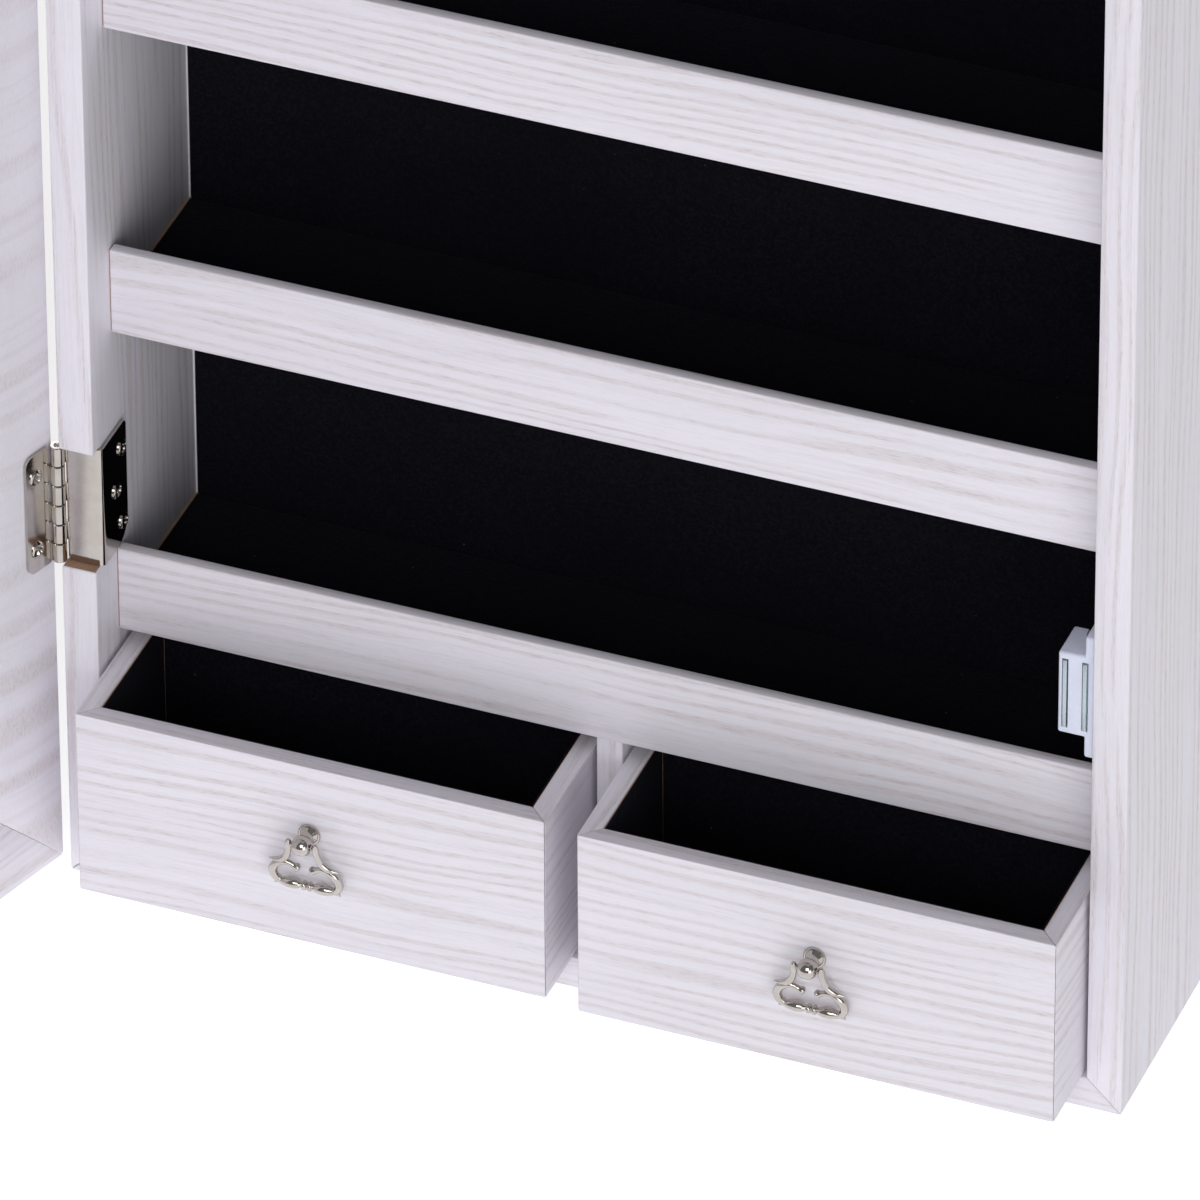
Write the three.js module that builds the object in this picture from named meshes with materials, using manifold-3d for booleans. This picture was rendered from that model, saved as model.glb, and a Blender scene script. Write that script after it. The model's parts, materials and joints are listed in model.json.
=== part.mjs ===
// Floor-standing mirror jewellery cabinet: a shallow white cabinet with a mirror door, velvet-lined
// shelves, two small drawers and a folding rear stand. Millimetres, +Z up, the viewer looks along +Y.
// The cabinet leans back on a wedge plinth and is held by the rear stand, as an easel is.
import * as THREE from "three";
import { mergeVertices } from "three/addons/utils/BufferGeometryUtils.js";
import Module from "manifold-3d";

const wasm = await Module();
wasm.setup();

// ---------------------------------------------------------------- driving dimensions (mm, degrees)
const LEAN = 12; // how far the cabinet leans back
const WIDTH = 365; // cabinet, outside
const HEIGHT = 1200;
const DEPTH = 92;
const BOARD = 12; // carcass boards
const GAP = 0.3; // between pieces that touch
const HALF = WIDTH / 2;
const INNER = HALF - BOARD; // half the clear width inside

const LINING_FRONT = 83.5; // depth of the velvet behind the shelves
const LINING_THICK = 2.5;
const BACK_THICK = 3;

const RAIL_SETBACK = 16.8; // shelf rails and closed drawers stand this far behind the front
const RAIL_THICK = 4.2;
const RAIL_HIGH = 32;
const SHELF_THICK = 9.4;
const FIRST_RAIL = 89.6; // underside of the lowest rail, above the drawers
const RAIL_PITCH = 117.6;
const SHELF_COUNT = 3;

const DIVIDER = 9; // between the drawers
const DRAWER_WIDE = 163;
const DRAWER_HIGH = 71;
const DRAWER_DEEP = 64;
const DRAWER_WALL = 6.5;
const DRAWER_FLOOR = 3;
const DRAWER_PLAY = 1.5; // at each side of a drawer
const LINER = 0.8; // velvet-covered card inside a drawer
const LINER_DOWN = 0.5; // its rim, below the drawer's
const DRAWER_OUT = { left: 40.7, right: 43.2 }; // pulled out by

const DOOR_OVERHANG = 2; // past each side of the cabinet
const DOOR_INSET = 2.7; // at top and bottom
const DOOR_THICK = 16;
const DOOR_FRAME = 50; // face width of the door's frame
const MIRROR_LIP = 6; // how far the frame laps the mirror
const LIP_THICK = 3;
const GLASS = 3;
const DOOR_PANEL = 6;
const DOOR_FACE = -0.2; // inner face of the closed door, just in front of the cabinet
const DOOR_OPEN = 107.4;

const HINGE = {
  out: 1.6, deep: 2.5, // the pivot, from the cabinet's outer face and behind its front
  barrel: 2.4, bore: 1.25, pin: 1.05, high: 45.8, knuckles: 6, leaf: 1,
};
const HINGE_HEIGHTS = { lower: 146, middle: 600, upper: 1054 };
const NOTCH_DEEP = 5.3; // cut in the cabinet's edge, so the folded hinge lies flush
const NOTCH_PLAY = 0.4;

const CATCH_HEIGHTS = { lower: 161, upper: 1039 };

const PLINTH = { front: 24, back: 90, half: 160, drop: 21.6 };
const STAND = {
  pivotHigh: 820, pivotBack: 18, spread: 13, thick: 18, wide: 19.5, heel: 16.6,
  railHigh: 210, railThick: 12, railWide: 28,
};

// ---------------------------------------------------------------- finishes
const finish = (color, roughness, metalness = 0) =>
  new THREE.MeshStandardMaterial({ color, roughness, metalness });
const whiteWood = finish(0xe6e3ea, 0.55);
const rawBoard = finish(0xb98a66, 0.85);
const velvet = finish(0x08080d, 0.95);
const nickel = finish(0xc9c4bd, 0.22, 1);
const steel = finish(0x9fb0ba, 0.3, 1);
const whitePlastic = finish(0xe2e4f0, 0.4);
const mirrorGlass = finish(0xdfe8ea, 0.03, 1);
const blackRubber = finish(0x1c1c1e, 0.8);

// ---------------------------------------------------------------- solids
const AXES = {
  // each basis turns a shape drawn in (a, b) and extruded along c into the part's frame
  x: new THREE.Matrix4().makeBasis(
    new THREE.Vector3(0, 1, 0), new THREE.Vector3(0, 0, 1), new THREE.Vector3(1, 0, 0)),
  y: new THREE.Matrix4().makeBasis(
    new THREE.Vector3(-1, 0, 0), new THREE.Vector3(0, 0, 1), new THREE.Vector3(0, 1, 0)),
  z: new THREE.Matrix4(),
};

// A shape pushed along an axis. Points are (y, z) for x, (-x, z) for y and (x, y) for z.
function extrude(shape, axis, from, to, curveSegments = 5) {
  const geometry = new THREE.ExtrudeGeometry(shape, {
    depth: to - from, bevelEnabled: false, curveSegments, steps: 1,
  });
  geometry.translate(0, 0, from);
  return geometry.applyMatrix4(AXES[axis]);
}

const outline = (points) => new THREE.Shape(points.map(([a, b]) => new THREE.Vector2(a, b)));

function box(x0, x1, y0, y1, z0, z1) {
  const geometry = new THREE.BoxGeometry(x1 - x0, y1 - y0, z1 - z0);
  return geometry.translate((x0 + x1) / 2, (y0 + y1) / 2, (z0 + z1) / 2);
}

// A round bar between two points.
function rod(start, end, radius, sides = 16, endRadius = radius) {
  const a = new THREE.Vector3(...start);
  const b = new THREE.Vector3(...end);
  const geometry = new THREE.CylinderGeometry(endRadius, radius, a.distanceTo(b), sides);
  const turn = new THREE.Quaternion().setFromUnitVectors(
    new THREE.Vector3(0, 1, 0), b.clone().sub(a).normalize());
  return geometry.applyQuaternion(turn).translate(...a.add(b).multiplyScalar(0.5).toArray());
}

function solid(geometry) {
  const bare = geometry.index ? geometry.toNonIndexed() : geometry.clone();
  bare.deleteAttribute("normal");
  bare.deleteAttribute("uv");
  const merged = mergeVertices(bare, 1e-4);
  return new wasm.Manifold(new wasm.Mesh({
    numProp: 3,
    vertProperties: merged.attributes.position.array,
    triVerts: new Uint32Array(merged.index.array),
  }));
}

function geometryOf(manifold) {
  const mesh = manifold.getMesh();
  const geometry = new THREE.BufferGeometry();
  geometry.setAttribute("position", new THREE.BufferAttribute(mesh.vertProperties, 3));
  geometry.setIndex(new THREE.BufferAttribute(mesh.triVerts, 1));
  const flat = geometry.toNonIndexed();
  flat.computeVertexNormals();
  return flat;
}

const join = (...pieces) => geometryOf(pieces.map(solid).reduce((sum, next) => sum.add(next)));

function cut(body, ...tools) {
  return geometryOf(tools.map(solid).reduce((left, tool) => left.subtract(tool), solid(body)));
}

function add(group, name, geometry, material) {
  const mesh = new THREE.Mesh(geometry, material);
  mesh.name = name;
  group.add(mesh);
  return mesh;
}

// A board whose two ends are mitred, running along one side of a rectangular frame in the XZ plane.
// side is left, right, top or bottom; the frame spans the given rectangle, from y0 to y1 in depth.
function mitredBoard(side, { x0, x1, z0, z1 }, wide, y0, y1) {
  const g = GAP / 2;
  const plans = {
    left: [[x0, z0 + g], [x0 + wide, z0 + wide + g], [x0 + wide, z1 - wide - g], [x0, z1 - g]],
    right: [[x1, z0 + g], [x1, z1 - g], [x1 - wide, z1 - wide - g], [x1 - wide, z0 + wide + g]],
    bottom: [[x0 + g, z0], [x1 - g, z0], [x1 - wide - g, z0 + wide], [x0 + wide + g, z0 + wide]],
    top: [[x0 + g, z1], [x0 + wide + g, z1 - wide], [x1 - wide - g, z1 - wide], [x1 - g, z1]],
  };
  return extrude(outline(plans[side].map(([x, z]) => [-x, z])), "y", y0, y1);
}

// ---------------------------------------------------------------- groups
const part = new THREE.Group();
const rad = THREE.MathUtils.degToRad;
const lean = rad(LEAN);

// The plinth's sole lies on the floor; its centre is the origin of the part.
const soleAt = (y) => -PLINTH.drop + y * Math.tan(lean);
const soleMiddle = (PLINTH.front + PLINTH.back) / 2;
const leaned = (y, z) => [
  y * Math.cos(lean) + z * Math.sin(lean),
  -y * Math.sin(lean) + z * Math.cos(lean),
];
const [soleY, soleZ] = leaned(soleMiddle, soleAt(soleMiddle));

const cabinet = new THREE.Group();
cabinet.rotation.x = -lean;
cabinet.position.set(0, -soleY, -soleZ);
part.add(cabinet);

// ---------------------------------------------------------------- carcass
const shell = { x0: -HALF, x1: HALF, z0: 0, z1: HEIGHT };
const notches = Object.values(HINGE_HEIGHTS).map((z) =>
  box(-HALF - 1, -INNER + 1, -1, NOTCH_DEEP,
    z - HINGE.high / 2 - NOTCH_PLAY, z + HINGE.high / 2 + NOTCH_PLAY));
add(cabinet, "side_board_left", cut(mitredBoard("left", shell, BOARD, 0, DEPTH), ...notches), whiteWood);
add(cabinet, "side_board_right", mitredBoard("right", shell, BOARD, 0, DEPTH), whiteWood);
add(cabinet, "top_board", mitredBoard("top", shell, BOARD, 0, DEPTH), whiteWood);
add(cabinet, "bottom_board", mitredBoard("bottom", shell, BOARD, 0, DEPTH), whiteWood);

const floorTop = BOARD + GAP;
const liningBack = LINING_FRONT + LINING_THICK;
const span = INNER - GAP;
add(cabinet, "velvet_back_lining",
  box(-span, span, LINING_FRONT, liningBack, floorTop, HEIGHT - floorTop), velvet);
add(cabinet, "back_panel",
  box(-span, span, liningBack + GAP, liningBack + GAP + BACK_THICK, floorTop, HEIGHT - floorTop), rawBoard);

for (let i = 0; i < SHELF_COUNT; i++) {
  const z = FIRST_RAIL + i * RAIL_PITCH;
  const n = i + 1;
  add(cabinet, `shelf_rail_${n}`,
    box(-span, span, RAIL_SETBACK, RAIL_SETBACK + RAIL_THICK, z, z + RAIL_HIGH), whiteWood);
  add(cabinet, `velvet_shelf_${n}`,
    box(-span, span, RAIL_SETBACK + RAIL_THICK + GAP, LINING_FRONT - GAP, z, z + SHELF_THICK), velvet);
}
add(cabinet, "drawer_divider", box(
  -DIVIDER / 2, DIVIDER / 2, RAIL_SETBACK + 1, LINING_FRONT - GAP, floorTop, FIRST_RAIL - GAP), whiteWood);

add(cabinet, "wedge_plinth", extrude(outline([
  [PLINTH.front, -GAP], [PLINTH.front, soleAt(PLINTH.front)],
  [PLINTH.back, soleAt(PLINTH.back)], [PLINTH.back, -GAP],
]), "x", -PLINTH.half, PLINTH.half), blackRubber);

// ---------------------------------------------------------------- ring cushion and necklace hooks
// The cushion is a row of rolls; rings are pushed into the slits between them.
const ROLL = { radius: 10, slit: 0.5, count: 8, bottom: 470, base: 6, sideClear: 12 };
{
  const back = LINING_FRONT - GAP;
  const shape = new THREE.Shape();
  shape.moveTo(back, ROLL.bottom);
  shape.lineTo(back - ROLL.base, ROLL.bottom);
  for (let i = 0; i < ROLL.count; i++) {
    const z = ROLL.bottom + (2 * i + 1) * ROLL.radius;
    shape.absarc(back - ROLL.base, z, ROLL.radius - ROLL.slit, -Math.PI / 2, Math.PI / 2, true);
  }
  const top = ROLL.bottom + 2 * ROLL.count * ROLL.radius;
  const reach = span - ROLL.sideClear;
  shape.lineTo(back - ROLL.base, top);
  shape.lineTo(back, top);
  add(cabinet, "ring_cushion", extrude(shape, "x", -reach, reach, 4), velvet);
}

const HOOKS = {
  z: 1120, count: 9, pitch: 34, stripHigh: 18, stripThick: 4, reach: 16, radius: 1.8, tipDown: 1, tipUp: 7,
};
{
  const back = LINING_FRONT - GAP;
  const front = back - HOOKS.stripThick;
  const halfStrip = (HOOKS.count * HOOKS.pitch) / 2;
  const pieces = [box(-halfStrip, halfStrip, front, back, HOOKS.z, HOOKS.z + HOOKS.stripHigh)];
  for (let i = 0; i < HOOKS.count; i++) {
    const x = (i - (HOOKS.count - 1) / 2) * HOOKS.pitch;
    const z = HOOKS.z + HOOKS.stripHigh / 2;
    const tip = front - HOOKS.reach;
    pieces.push(rod([x, front + 1, z], [x, tip, z], HOOKS.radius, 8));
    const bend = tip + HOOKS.radius;
    pieces.push(rod([x, bend, z - HOOKS.tipDown], [x, bend, z + HOOKS.tipUp], HOOKS.radius, 8));
  }
  add(cabinet, "necklace_hook_strip", join(...pieces), nickel);
}

// ---------------------------------------------------------------- magnetic catches
// The housing is screwed to the inside of the latch-side board. Two steel plates stand in its slots
// with the magnet between them, and they hold the strike plate on the door.
const CATCH = {
  face: 2.5, deep: 15, body: 12.6, flange: 3.7, flangeHigh: 47.1, bodyHigh: 31.5, flangeDeep: 12.5,
  plateHigh: 26, plateThick: 1.3, plates: [10.9, 4.2], slotPlay: 0.4, poleFront: 1.9, poleBack: 14,
  magnetFront: 6, magnetBack: 12.5, magnetHalf: 11, bite: 0.5, // the magnet runs this far into each plate
};
const wall = INNER - GAP;
for (const [place, z] of Object.entries(CATCH_HEIGHTS)) {
  const back = CATCH.face + CATCH.deep;
  const half = CATCH.plateHigh / 2;
  const plateAt = CATCH.plates.map((d) => INNER - d);
  const p = CATCH.slotPlay;
  const magnet = (play) => box(
    plateAt[0] + CATCH.plateThick - CATCH.bite, plateAt[1] + CATCH.bite,
    CATCH.magnetFront - play, CATCH.magnetBack + play,
    z - CATCH.magnetHalf - play, z + CATCH.magnetHalf + play);
  const housing = join(
    box(INNER - CATCH.body, wall, CATCH.face, back, z - CATCH.bodyHigh / 2, z + CATCH.bodyHigh / 2),
    box(INNER - CATCH.flange, wall, CATCH.face, CATCH.face + CATCH.flangeDeep,
      z - CATCH.flangeHigh / 2, z + CATCH.flangeHigh / 2));
  const slots = plateAt.map((x) => box(
    x - p, x + CATCH.plateThick + p, CATCH.face - 1, CATCH.poleBack + p, z - half - p, z + half + p));
  add(cabinet, `catch_housing_${place}`, cut(housing, ...slots, magnet(p)), whitePlastic);
  const plates = plateAt.map((x) =>
    box(x, x + CATCH.plateThick, CATCH.poleFront, CATCH.poleBack, z - half, z + half));
  add(cabinet, `catch_magnet_${place}`, join(...plates, magnet(0)), steel);
}

// ---------------------------------------------------------------- door
const pivotX = -HALF - HINGE.out;
const pivotY = HINGE.deep;
const door = new THREE.Group();
door.position.set(pivotX, pivotY, 0);
door.rotation.z = -rad(DOOR_OPEN);
cabinet.add(door);
// The door's pieces are drawn closed, in the cabinet's frame, and this group carries them to the pivot.
const doorClosed = new THREE.Group();
doorClosed.position.set(-pivotX, -pivotY, 0);
door.add(doorClosed);

const doorFront = DOOR_FACE - DOOR_THICK;
const leafSize = {
  x0: -HALF - DOOR_OVERHANG, x1: HALF + DOOR_OVERHANG, z0: DOOR_INSET, z1: HEIGHT - DOOR_INSET,
};
const frameNames = {
  left: "door_stile_hinge_side",
  right: "door_stile_latch_side",
  top: "door_rail_top",
  bottom: "door_rail_bottom",
};
for (const [side, name] of Object.entries(frameNames)) {
  add(doorClosed, name, join(
    mitredBoard(side, leafSize, DOOR_FRAME - MIRROR_LIP, doorFront, DOOR_FACE),
    mitredBoard(side, leafSize, DOOR_FRAME, doorFront, doorFront + LIP_THICK)), whiteWood);
}
const paneHalf = HALF + DOOR_OVERHANG - DOOR_FRAME + MIRROR_LIP - GAP;
const paneLow = DOOR_INSET + DOOR_FRAME - MIRROR_LIP + GAP;
const glassFront = doorFront + LIP_THICK + GAP;
add(doorClosed, "mirror_glass",
  box(-paneHalf, paneHalf, glassFront, glassFront + GLASS, paneLow, HEIGHT - paneLow), mirrorGlass);
const panelFront = glassFront + GLASS + GAP;
add(doorClosed, "door_backing_panel",
  box(-paneHalf, paneHalf, panelFront, panelFront + DOOR_PANEL, paneLow, HEIGHT - paneLow), whiteWood);

const STRIKE = { high: 38, left: 15, right: 1, thick: 1.2 };
for (const [place, z] of Object.entries(CATCH_HEIGHTS)) {
  add(doorClosed, `strike_plate_${place}`,
    box(INNER - STRIKE.left, INNER - STRIKE.right, DOOR_FACE + GAP, DOOR_FACE + GAP + STRIKE.thick,
      z - STRIKE.high / 2, z + STRIKE.high / 2), nickel);
}

// ---------------------------------------------------------------- hinges
// The barrel stands at the cabinet's outer edge. One leaf lies on the door's inner face; the other lies
// in the notch, bends round the inner edge and is screwed to the inside of the side board.
const WRAP = { back: 24, corner: 9, small: 2, doorLeaf: 13.8, tab: 2.9, bite: 0.5 };
const knuckleHigh = HINGE.high / HINGE.knuckles;
function knuckles(z, first) {
  const pieces = [];
  for (let i = first; i < HINGE.knuckles; i += 2) {
    const top = z + HINGE.high / 2 - i * knuckleHigh;
    pieces.push({ top: top - GAP / 2, bottom: top - knuckleHigh + GAP / 2 });
  }
  return pieces;
}
for (const [place, z] of Object.entries(HINGE_HEIGHTS)) {
  const low = z - HINGE.high / 2;
  const high = z + HINGE.high / 2;
  const barrel = ({ top, bottom }) =>
    rod([pivotX, pivotY, bottom], [pivotX, pivotY, top], HINGE.barrel, 16);
  const bore = rod([pivotX, pivotY, low - 1], [pivotX, pivotY, high + 1], HINGE.bore, 12);
  const plate = pivotX + WRAP.tab;

  // cabinet leaf
  const leafY1 = pivotY + HINGE.barrel;
  const leafY0 = leafY1 - HINGE.leaf;
  const sideX = -INNER + GAP;
  const wing = new THREE.Shape();
  wing.moveTo(leafY0, low);
  wing.lineTo(WRAP.back - WRAP.corner, low);
  wing.absarc(WRAP.back - WRAP.corner, low + WRAP.corner, WRAP.corner, -Math.PI / 2, 0, false);
  wing.lineTo(WRAP.back, high - WRAP.small);
  wing.absarc(WRAP.back - WRAP.small, high - WRAP.small, WRAP.small, 0, Math.PI / 2, false);
  wing.lineTo(leafY0, high);
  const tab = (y0, y1) => ({ top, bottom }) => box(pivotX, plate + WRAP.bite, y0, y1, bottom, top);
  const cabinetKnuckles = knuckles(z, 0);
  add(cabinet, `hinge_leaf_cabinet_${place}`, cut(join(
    box(plate, sideX + HINGE.leaf, leafY0, leafY1, low, high),
    extrude(wing, "x", sideX, sideX + HINGE.leaf, 4),
    ...cabinetKnuckles.map(barrel),
    ...cabinetKnuckles.map(tab(leafY0, leafY1)),
  ), bore), nickel);

  // door leaf
  const faceY0 = pivotY - HINGE.barrel;
  const faceY1 = faceY0 + HINGE.leaf;
  const doorKnuckles = knuckles(z, 1);
  add(doorClosed, `hinge_leaf_door_${place}`, cut(join(
    box(plate, pivotX + WRAP.doorLeaf, faceY0, faceY1, low, high),
    ...doorKnuckles.map(barrel),
    ...doorKnuckles.map(tab(faceY0, faceY1)),
  ), bore), nickel);

  add(cabinet, `hinge_pin_${place}`,
    rod([pivotX, pivotY, low + GAP], [pivotX, pivotY, high - GAP], HINGE.pin, 12), nickel);
}

// ---------------------------------------------------------------- drawers and their pulls
// Each drawer is four mitred walls, a floor and a velvet-covered liner; its pull is a post with a round
// foot and a drum-shaped head, and a bail that hangs from the drum's two sockets.
const PULL = {
  above: 9, // its pivot, over the middle of the drawer front
  reach: 6.6, neck: 1.9, head: 3.4, headHalf: 3, socket: 1.1, socketDeep: 1.2, tip: 0.8,
  foot: [[0, 0], [3.9, 0], [3.9, 0.7], [3.3, 1.3], [2.3, 1.7]], // radius and height, up to the neck
  neckLow: 2.1, into: 1,
};
const BAIL = {
  wire: 1.35, bar: 1.8, barHalf: 9.6, drop: 19.5, eye: 4.7,
  arm: [[4.7, 0.6], [5, -3.2], [5.9, -7], [8.3, -9.2]], // out from the middle, and up from the pivot
  loop: [[3.1, -10.6], [6.9, -9.7], [10.2, -11.3], [11.5, -15.1], [10.6, -18.2], [8.9, -19.5]],
};

function bailGeometry() {
  // drawn in the XZ plane about its own pivot, hanging down
  const section = new THREE.Shape();
  section.absarc(0, 0, BAIL.wire, 0, Math.PI * 2, false);
  const tube = (side, points, steps) => {
    const path = points.map(([out, up]) => new THREE.Vector3(side * out, 0, up));
    return new THREE.ExtrudeGeometry(section, {
      steps, curveSegments: 4, bevelEnabled: false, extrudePath: new THREE.CatmullRomCurve3(path),
    });
  };
  const tipEnd = PULL.headHalf - PULL.socketDeep + GAP;
  const pieces = [-1, 1].flatMap((side) => [
    tube(side, BAIL.arm, 5),
    tube(side, BAIL.loop, 8),
    rod([side * BAIL.eye, 0, 0], [side * tipEnd, 0, 0], PULL.tip, 8),
  ]);
  pieces.push(rod([-BAIL.barHalf, 0, -BAIL.drop], [BAIL.barHalf, 0, -BAIL.drop], BAIL.bar, 8));
  return join(...pieces);
}

for (const [side, sign] of [["left", -1], ["right", 1]]) {
  const drawer = new THREE.Group();
  drawer.position.y = -DRAWER_OUT[side];
  cabinet.add(drawer);
  const inner = sign * (DIVIDER / 2 + DRAWER_PLAY);
  const outer = sign * (DIVIDER / 2 + DRAWER_PLAY + DRAWER_WIDE);
  const x0 = Math.min(inner, outer);
  const x1 = Math.max(inner, outer);
  const y0 = RAIL_SETBACK;
  const y1 = RAIL_SETBACK + DRAWER_DEEP;
  const z0 = floorTop + GAP;
  const z1 = z0 + DRAWER_HIGH;
  const w = DRAWER_WALL;
  const g = GAP / 2;
  const walls = {
    front: [[x0 + g, y0], [x1 - g, y0], [x1 - w - g, y0 + w], [x0 + w + g, y0 + w]],
    back: [[x1 - g, y1], [x0 + g, y1], [x0 + w + g, y1 - w], [x1 - w - g, y1 - w]],
    wall_left: [[x0, y1 - g], [x0, y0 + g], [x0 + w, y0 + w + g], [x0 + w, y1 - w - g]],
    wall_right: [[x1, y0 + g], [x1, y1 - g], [x1 - w, y1 - w - g], [x1 - w, y0 + w + g]],
  };
  for (const [name, plan] of Object.entries(walls)) {
    add(drawer, `drawer_${side}_${name}`, extrude(outline(plan), "z", z0, z1), whiteWood);
  }
  const ix0 = x0 + w + GAP;
  const ix1 = x1 - w - GAP;
  const iy0 = y0 + w + GAP;
  const iy1 = y1 - w - GAP;
  const floorZ = z0 + DRAWER_FLOOR;
  add(drawer, `drawer_${side}_floor`, box(ix0, ix1, iy0, iy1, z0, floorZ), whiteWood);
  add(drawer, `drawer_${side}_velvet_liner`, cut(
    box(ix0, ix1, iy0, iy1, floorZ + GAP, z1 - LINER_DOWN),
    box(ix0 + LINER, ix1 - LINER, iy0 + LINER, iy1 - LINER, floorZ + GAP + LINER, z1 + 1)), velvet);

  const px = (x0 + x1) / 2;
  const pz = (z0 + z1) / 2 + PULL.above;
  const face = y0 - GAP;
  const headY = face - PULL.reach;
  const neckTop = PULL.reach - PULL.into;
  const profile = [...PULL.foot, [PULL.neck, PULL.neckLow], [PULL.neck, neckTop], [0, neckTop]];
  const stem = new THREE.LatheGeometry(profile.map(([r, h]) => new THREE.Vector2(r, h)), 16);
  stem.rotateX(Math.PI).translate(0, face, 0);
  const drum = rod([-PULL.headHalf, headY, 0], [PULL.headHalf, headY, 0], PULL.head, 16);
  const socketEnd = PULL.headHalf - PULL.socketDeep;
  const sockets = [-1, 1].map((s) =>
    rod([s * socketEnd, headY, 0], [s * (PULL.headHalf + 1), headY, 0], PULL.socket, 8));
  const post = cut(join(stem, drum), ...sockets);
  post.translate(px, 0, pz);
  add(drawer, `pull_post_${side}`, post, nickel);

  const bail = new THREE.Group();
  bail.position.set(px, headY, pz);
  bail.rotation.x = lean; // it hangs plumb
  drawer.add(bail);
  add(bail, `pull_bail_${side}`, bailGeometry(), nickel);
}

// ---------------------------------------------------------------- rear stand
// Two legs turn in brackets on the side boards' rear edges. Each leg's square heel meets its bracket's
// plate when the stand is open, and that stops it.
const BRACKET = {
  plate: 2, half: 12.25, low: 25, high: 27, ear: 2, earHalf: 12, eye: 7, bite: 0.5,
  pin: 2.4, bore: 2.55, pinOut: 0.8,
};
const pivotBackY = DEPTH + STAND.pivotBack;
const legCentre = HALF - BRACKET.half;
const [standY, standZ] = leaned(pivotBackY, STAND.pivotHigh);
const stand = new THREE.Group();
stand.position.set(0, standY - soleY, standZ - soleZ);
part.add(stand);

for (const [side, sign] of [["left", -1], ["right", 1]]) {
  const cx = sign * legCentre;
  const plateY = DEPTH + GAP;
  const z = STAND.pivotHigh;
  const hole = rod([cx - 20, pivotBackY, z], [cx + 20, pivotBackY, z], BRACKET.bore, 16);
  const ear = (s) => {
    const shape = new THREE.Shape();
    shape.moveTo(plateY + BRACKET.bite, z - BRACKET.earHalf);
    shape.lineTo(pivotBackY, z - BRACKET.eye);
    shape.absarc(pivotBackY, z, BRACKET.eye, -Math.PI / 2, Math.PI / 2, false);
    shape.lineTo(plateY + BRACKET.bite, z + BRACKET.earHalf);
    const outside = cx + s * BRACKET.half;
    const inside = outside - s * BRACKET.ear;
    return extrude(shape, "x", Math.min(outside, inside), Math.max(outside, inside));
  };
  const plate = box(
    cx - BRACKET.half, cx + BRACKET.half, plateY, plateY + BRACKET.plate,
    z - BRACKET.low, z + BRACKET.high);
  add(cabinet, `stand_bracket_${side}`, cut(join(plate, ear(-1), ear(1)), hole), nickel);
  const pinHalf = BRACKET.half + BRACKET.pinOut;
  add(cabinet, `stand_pivot_pin_${side}`,
    rod([cx - pinHalf, pivotBackY, z], [cx + pinHalf, pivotBackY, z], BRACKET.pin, 16), steel);

  // the leg, drawn about the pivot and square to the floor at its foot
  const spread = rad(STAND.spread);
  const floorBelow = -stand.position.z;
  const along = [Math.sin(spread), -Math.cos(spread)]; // down the leg
  const across = [Math.cos(spread), Math.sin(spread)]; // towards the rear
  const h = STAND.thick / 2;
  const corner = (u, v) => [along[0] * u + across[0] * v, along[1] * u + across[1] * v];
  const footAt = (v) => corner((floorBelow - across[1] * v) / along[1], v);
  const legPlan = outline([corner(-STAND.heel, -h), footAt(-h), footAt(h), corner(-STAND.heel, h)]);
  add(stand, `stand_leg_${side}`, cut(
    extrude(legPlan, "x", cx - STAND.wide / 2, cx + STAND.wide / 2),
    rod([cx - 20, 0, 0], [cx + 20, 0, 0], BRACKET.bore, 16)), whiteWood);
}
{
  const spread = rad(STAND.spread);
  const down = (stand.position.z - STAND.railHigh) / Math.cos(spread);
  const half = legCentre - STAND.wide / 2 - GAP;
  const t = STAND.railThick / 2;
  const w = STAND.railWide / 2;
  const rail = new THREE.Group();
  rail.rotation.x = spread;
  stand.add(rail);
  add(rail, "stand_cross_rail", box(-half, half, -t, t, -down - w, -down + w), whiteWood);
}

export default part;
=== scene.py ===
"""Mirror jewellery cabinet: white wood-grain boards, dark velvet, nickel hardware and a mirror door."""

import json
import math

import bmesh
import bpy
from mathutils import Matrix, Vector


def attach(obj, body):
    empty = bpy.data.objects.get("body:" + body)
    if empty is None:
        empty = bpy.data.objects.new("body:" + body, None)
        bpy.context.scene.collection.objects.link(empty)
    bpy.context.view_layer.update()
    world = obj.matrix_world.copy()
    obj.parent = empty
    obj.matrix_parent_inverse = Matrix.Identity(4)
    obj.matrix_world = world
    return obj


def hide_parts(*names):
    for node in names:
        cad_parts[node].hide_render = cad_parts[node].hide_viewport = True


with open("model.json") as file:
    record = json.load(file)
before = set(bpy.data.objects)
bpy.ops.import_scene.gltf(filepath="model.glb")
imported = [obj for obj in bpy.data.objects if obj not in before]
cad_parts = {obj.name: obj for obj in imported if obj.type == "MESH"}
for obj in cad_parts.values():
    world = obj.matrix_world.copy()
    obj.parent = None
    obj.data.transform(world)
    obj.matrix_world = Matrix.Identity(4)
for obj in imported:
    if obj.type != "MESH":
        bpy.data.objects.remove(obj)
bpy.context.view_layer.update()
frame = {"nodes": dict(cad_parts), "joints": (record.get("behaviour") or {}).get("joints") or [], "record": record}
joints = {j["name"]: j for j in frame["joints"]}
body_of = {n: b for b, names in frame["record"]["behaviour"]["bodies"].items() for n in names}
slot_of = {s["node"]: s["material_slot"] for s in frame["record"]["subparts"]}

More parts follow.
